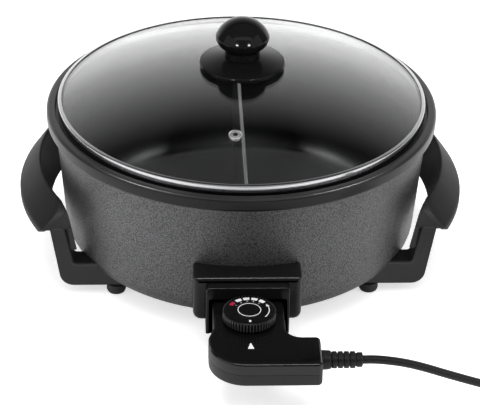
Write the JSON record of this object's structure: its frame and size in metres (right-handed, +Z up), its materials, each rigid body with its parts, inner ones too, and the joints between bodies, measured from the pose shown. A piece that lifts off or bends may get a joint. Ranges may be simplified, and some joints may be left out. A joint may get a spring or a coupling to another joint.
{
  "type": "electric skillet",
  "caption": "Round deep electric skillet: divided coated pan with side handles and feet, domed glass lid that lifts off, and a plug-in temperature control with dial, cord and plug.",
  "frame": {"origin": "on the table, under the middle of the box round the skillet without its cord", "axes": "+Z up, -Y to the front where the control plugs in, +X to the right"},
  "size_m": [0.5445, 0.443, 0.2208],
  "materials": {
    "coated_aluminium": "hammered dark grey enamel outside, satin non-stick coating inside",
    "steel": "brushed",
    "ceramic": null,
    "bakelite": "matt moulded",
    "control_plastic": "satin gloss",
    "rubber": "matt",
    "glass": "clear tempered",
    "band_steel": "polished",
    "brass": "plain",
    "cord_rubber": "smooth"
  },
  "bodies": {
    "pan_body": {"pan": "coated_aluminium", "pan_divider": "coated_aluminium", "heating_element": "steel", "terminal_pins": "steel", "terminal_insulators": "ceramic", "socket_housing": "bakelite", "socket_screws": "steel", "left_handle": "bakelite", "right_handle": "bakelite", "handle_screws": "steel", "foot_front_left": "rubber", "foot_front_right": "rubber", "foot_back_left": "rubber", "foot_back_right": "rubber"},
    "lid": {"lid_glass": "glass", "lid_band": "band_steel", "vent_eyelet": "steel", "lid_knob": "bakelite", "knob_base": "bakelite", "knob_gasket": "rubber", "knob_washer": "steel", "knob_screw": "steel"},
    "control": {"control_top_cover": "control_plastic", "control_bottom_cover": "control_plastic", "control_screws": "steel", "temperature_probe": "steel", "left_contact_sleeve": "brass", "right_contact_sleeve": "brass", "contact_block": "ceramic", "thermostat_frame": "steel", "bimetal_strip": "brass", "contact_spacer": "ceramic", "contact_spring": "brass", "strain_relief": "cord_rubber", "power_cord": "cord_rubber", "cord_coil": "cord_rubber", "cord_tie": "cord_rubber", "plug_body": "cord_rubber", "plug_pins": "steel"},
    "dial_unit": {"dial": "control_plastic", "dial_spindle": "steel"}
  },
  "joints": [
    {"name": "lid_lift", "type": "slide", "parent": "pan_body", "child": "lid", "axis": [0, 0, 1], "range_m": [0, 0.15]},
    {"name": "control_pull", "type": "slide", "parent": "pan_body", "child": "control", "axis": [0, -1, 0], "range_m": [0, 0.045]},
    {"name": "dial_turn", "type": "hinge", "parent": "control", "child": "dial_unit", "pos_m": [0, -0.1595, 0.058], "axis": [0, 0, 1], "range_deg": [-240, 0]}
  ]
}
